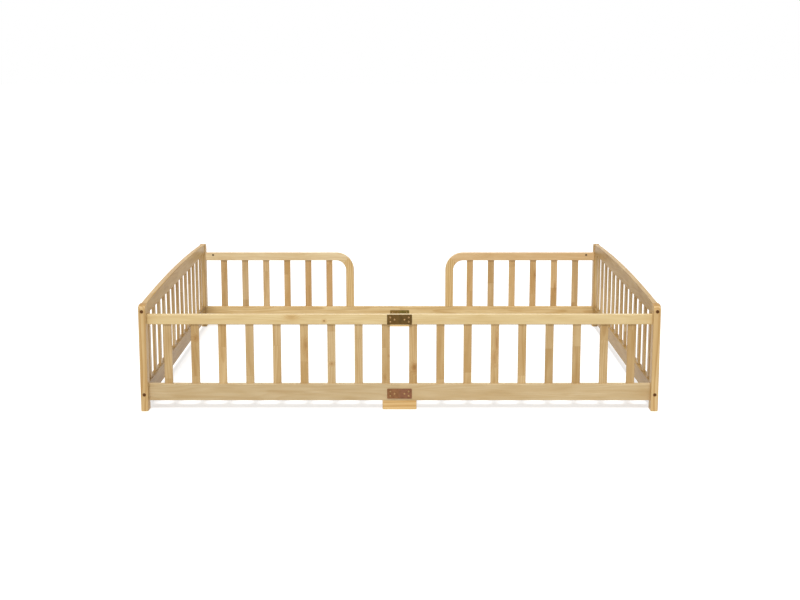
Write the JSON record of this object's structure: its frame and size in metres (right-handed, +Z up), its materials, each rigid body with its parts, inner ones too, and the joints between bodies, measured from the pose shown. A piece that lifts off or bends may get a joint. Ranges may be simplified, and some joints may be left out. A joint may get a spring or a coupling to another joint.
{
  "type": "toddler floor bed",
  "caption": "Low floor bed frame in pine: slatted arched end panels, railed front, and a back with a gap between two guards, so a child walks in. The mattress lies on the floor inside.",
  "frame": {"origin": "on the floor, at the middle of the bed's length and width", "axes": "+X along the bed to the right as seen from the railed front, +Y from the front to the back with the entrance, +Z up"},
  "size_m": [1.98, 1.476, 0.432],
  "materials": {
    "pine_stiles": "clear satin lacquer",
    "pine_end_rails": "clear satin lacquer",
    "pine_fence_rails": "clear satin lacquer",
    "pine_guards": "clear satin lacquer",
    "pine_slats": "clear satin lacquer",
    "pine_feet": "clear satin lacquer",
    "bronzed_plates": "antique bronze plating on steel",
    "bronzed_steel": "dark bronze",
    "zinc_steel": "zinc plated",
    "brass_screws": "satin",
    "beech_dowels": "bare"
  },
  "bodies": {
    "root": {"front_left_stile": "pine_stiles", "front_right_stile": "pine_stiles", "back_left_stile": "pine_stiles", "back_right_stile": "pine_stiles", "left_end_top_rail": "pine_end_rails", "left_end_bottom_rail": "pine_end_rails", "left_end_slats": "pine_slats", "right_end_top_rail": "pine_end_rails", "right_end_bottom_rail": "pine_end_rails", "right_end_slats": "pine_slats", "front_top_rail_left": "pine_fence_rails", "front_bottom_rail_left": "pine_fence_rails", "back_bottom_rail_left": "pine_fence_rails", "left_guard_top_rail": "pine_guards", "left_guard_upright": "pine_guards", "left_guard_slat_1": "pine_slats", "left_guard_slat_2": "pine_slats", "left_guard_slat_3": "pine_slats", "left_guard_slat_4": "pine_slats", "left_guard_slat_5": "pine_slats", "left_guard_slat_6": "pine_slats", "front_top_rail_right": "pine_fence_rails", "front_bottom_rail_right": "pine_fence_rails", "back_bottom_rail_right": "pine_fence_rails", "right_guard_top_rail": "pine_guards", "right_guard_upright": "pine_guards", "right_guard_slat_1": "pine_slats", "right_guard_slat_2": "pine_slats", "right_guard_slat_3": "pine_slats", "right_guard_slat_4": "pine_slats", "right_guard_slat_5": "pine_slats", "right_guard_slat_6": "pine_slats", "front_slat_01": "pine_slats", "front_slat_02": "pine_slats", "front_slat_03": "pine_slats", "front_slat_04": "pine_slats", "front_slat_05": "pine_slats", "front_slat_06": "pine_slats", "front_slat_07": "pine_slats", "front_slat_08": "pine_slats", "front_slat_09": "pine_slats", "front_slat_10": "pine_slats", "front_slat_11": "pine_slats", "front_slat_12": "pine_slats", "front_slat_13": "pine_slats", "front_slat_14": "pine_slats", "front_slat_15": "pine_slats", "front_slat_16": "pine_slats", "front_slat_17": "pine_slats", "front_slat_18": "pine_slats", "front_upper_splice_plate": "bronzed_plates", "front_lower_splice_plate": "bronzed_plates", "back_splice_plate": "bronzed_plates", "front_middle_foot": "pine_feet", "back_middle_foot": "pine_feet", "end_rail_bolts": "bronzed_steel", "fence_rail_bolts": "bronzed_steel", "barrel_nuts": "zinc_steel", "plate_screws": "brass_screws", "joint_dowels": "beech_dowels"}
  },
  "joints": []
}
